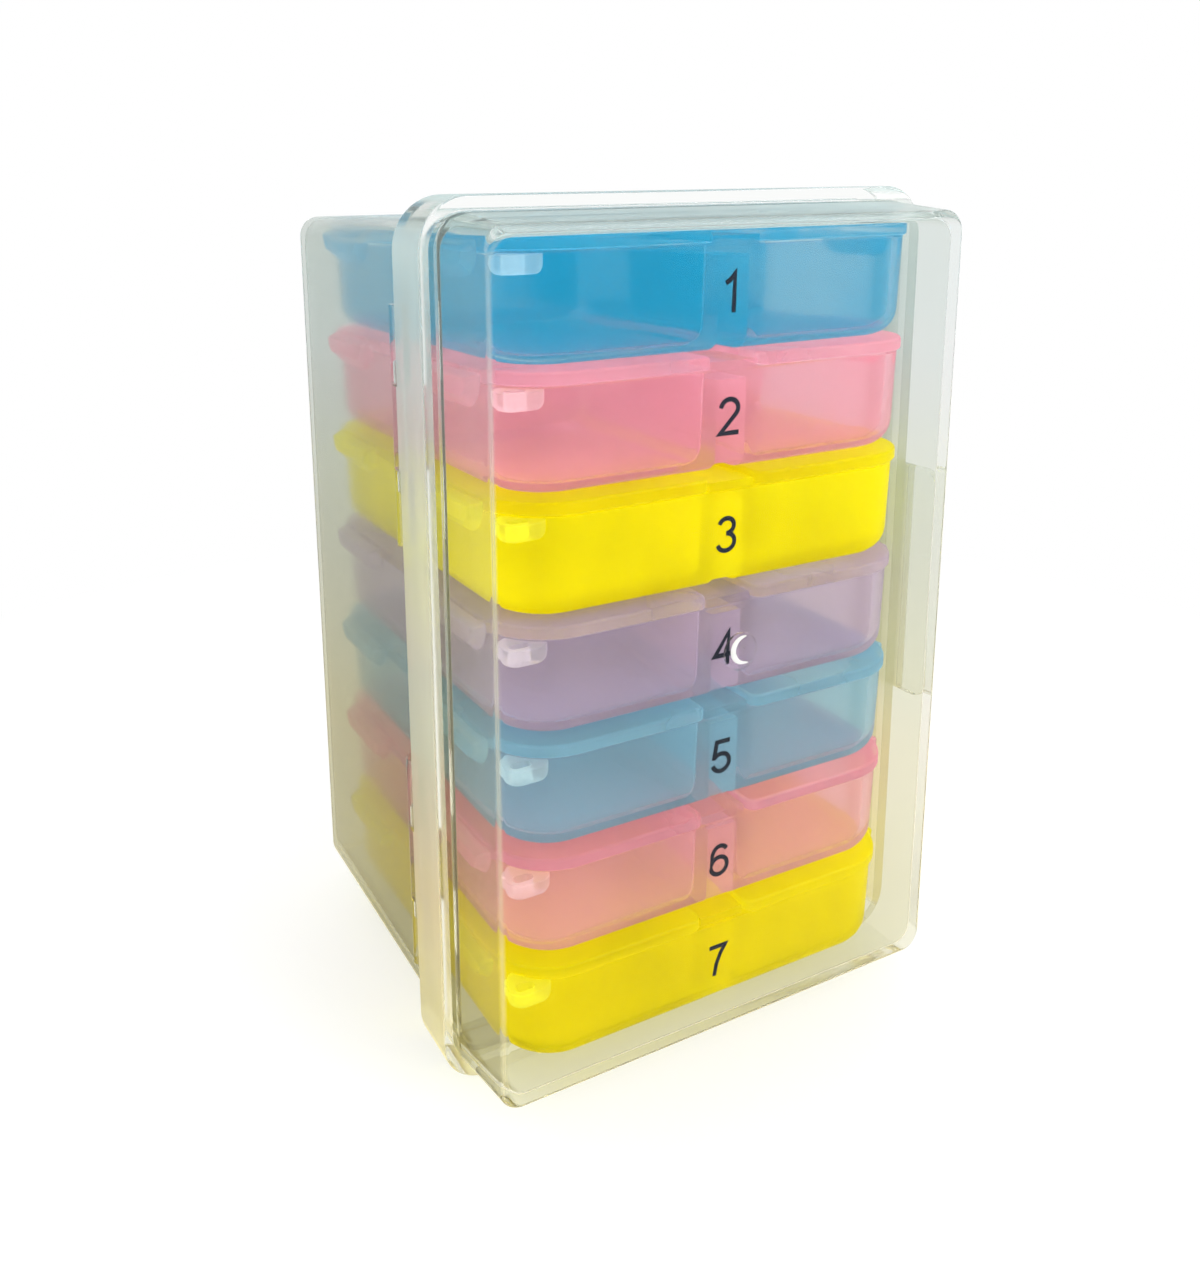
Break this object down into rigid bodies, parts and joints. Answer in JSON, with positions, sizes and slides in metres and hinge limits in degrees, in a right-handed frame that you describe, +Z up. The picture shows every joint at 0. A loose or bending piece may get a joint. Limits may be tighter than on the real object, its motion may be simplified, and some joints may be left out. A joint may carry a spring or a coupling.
{
  "type": "weekly pill organizer",
  "caption": "Clear hinged case with a stack of slide-out day trays; each tray has lidded pill cups, the cover swings on side knuckles and a side clasp keeps it shut.",
  "frame": {"origin": "middle of the footprint, level with the lowest edge of the cover's rim", "axes": "+Z up the tray stack, +Y from the cover to the rear wall, +X from the hinge side to the clasp side"},
  "size_m": [0.0802, 0.0684, 0.1184],
  "materials": {
    "clear_case": "clear, slightly milky moulded plastic",
    "tray_blue": "translucent moulded plastic",
    "tray_pink": "translucent moulded plastic",
    "tray_yellow": "translucent moulded plastic",
    "tray_lilac": "translucent moulded plastic",
    "tray_teal": "translucent moulded plastic"
  },
  "bodies": {
    "rear_case": {"rear_case": "clear_case"},
    "front_cover": {"front_cover": "clear_case"},
    "side_clasp": {"side_clasp": "clear_case"},
    "tray_1": {"tray_1": "tray_blue", "lid_1_front_left": "tray_blue", "lid_1_front_right": "tray_blue", "lid_1_rear_left": "tray_blue", "lid_1_rear_right": "tray_blue"},
    "tray_2": {"tray_2": "tray_pink", "lid_2_front_left": "tray_pink", "lid_2_front_right": "tray_pink", "lid_2_rear_left": "tray_pink", "lid_2_rear_right": "tray_pink"},
    "tray_3": {"tray_3": "tray_yellow", "lid_3_front_left": "tray_yellow", "lid_3_front_right": "tray_yellow", "lid_3_rear_left": "tray_yellow", "lid_3_rear_right": "tray_yellow"},
    "tray_4": {"tray_4": "tray_lilac", "lid_4_front_left": "tray_lilac", "lid_4_front_right": "tray_lilac", "lid_4_rear_left": "tray_lilac", "lid_4_rear_right": "tray_lilac"},
    "tray_5": {"tray_5": "tray_teal", "lid_5_front_left": "tray_teal", "lid_5_front_right": "tray_teal", "lid_5_rear_left": "tray_teal", "lid_5_rear_right": "tray_teal"},
    "tray_6": {"tray_6": "tray_pink", "lid_6_front_left": "tray_pink", "lid_6_front_right": "tray_pink", "lid_6_rear_left": "tray_pink", "lid_6_rear_right": "tray_pink"},
    "tray_7": {"tray_7": "tray_yellow", "lid_7_front_left": "tray_yellow", "lid_7_front_right": "tray_yellow", "lid_7_rear_left": "tray_yellow", "lid_7_rear_right": "tray_yellow"}
  },
  "joints": [
    {"name": "cover_hinge", "type": "hinge", "parent": "rear_case", "child": "front_cover", "pos_m": [-0.0389, -0.01335, 0.0592], "axis": [0, 0, -1], "range_deg": [0, 180]},
    {"name": "clasp_hinge", "type": "hinge", "parent": "rear_case", "child": "side_clasp", "pos_m": [0.039, -0.01215, 0.0592], "axis": [0, 0, 1], "range_deg": [0, 100]},
    {"name": "tray_1_slide", "type": "slide", "parent": "rear_case", "child": "tray_1", "axis": [0, -1, 0], "range_m": [0, 0.0315]},
    {"name": "tray_2_slide", "type": "slide", "parent": "rear_case", "child": "tray_2", "axis": [0, -1, 0], "range_m": [0, 0.0315]},
    {"name": "tray_3_slide", "type": "slide", "parent": "rear_case", "child": "tray_3", "axis": [0, -1, 0], "range_m": [0, 0.0315]},
    {"name": "tray_4_slide", "type": "slide", "parent": "rear_case", "child": "tray_4", "axis": [0, -1, 0], "range_m": [0, 0.0315]},
    {"name": "tray_5_slide", "type": "slide", "parent": "rear_case", "child": "tray_5", "axis": [0, -1, 0], "range_m": [0, 0.0315]},
    {"name": "tray_6_slide", "type": "slide", "parent": "rear_case", "child": "tray_6", "axis": [0, -1, 0], "range_m": [0, 0.0315]},
    {"name": "tray_7_slide", "type": "slide", "parent": "rear_case", "child": "tray_7", "axis": [0, -1, 0], "range_m": [0, 0.0315]}
  ],
  "couplings": [
    {"joint": "tray_1_slide", "follows": "cover_hinge", "m_per_rad": 0.01},
    {"joint": "tray_2_slide", "follows": "cover_hinge", "m_per_rad": 0.01},
    {"joint": "tray_3_slide", "follows": "cover_hinge", "m_per_rad": 0.01},
    {"joint": "tray_4_slide", "follows": "cover_hinge", "m_per_rad": 0.01},
    {"joint": "tray_5_slide", "follows": "cover_hinge", "m_per_rad": 0.01},
    {"joint": "tray_6_slide", "follows": "cover_hinge", "m_per_rad": 0.01},
    {"joint": "tray_7_slide", "follows": "cover_hinge", "m_per_rad": 0.01}
  ]
}
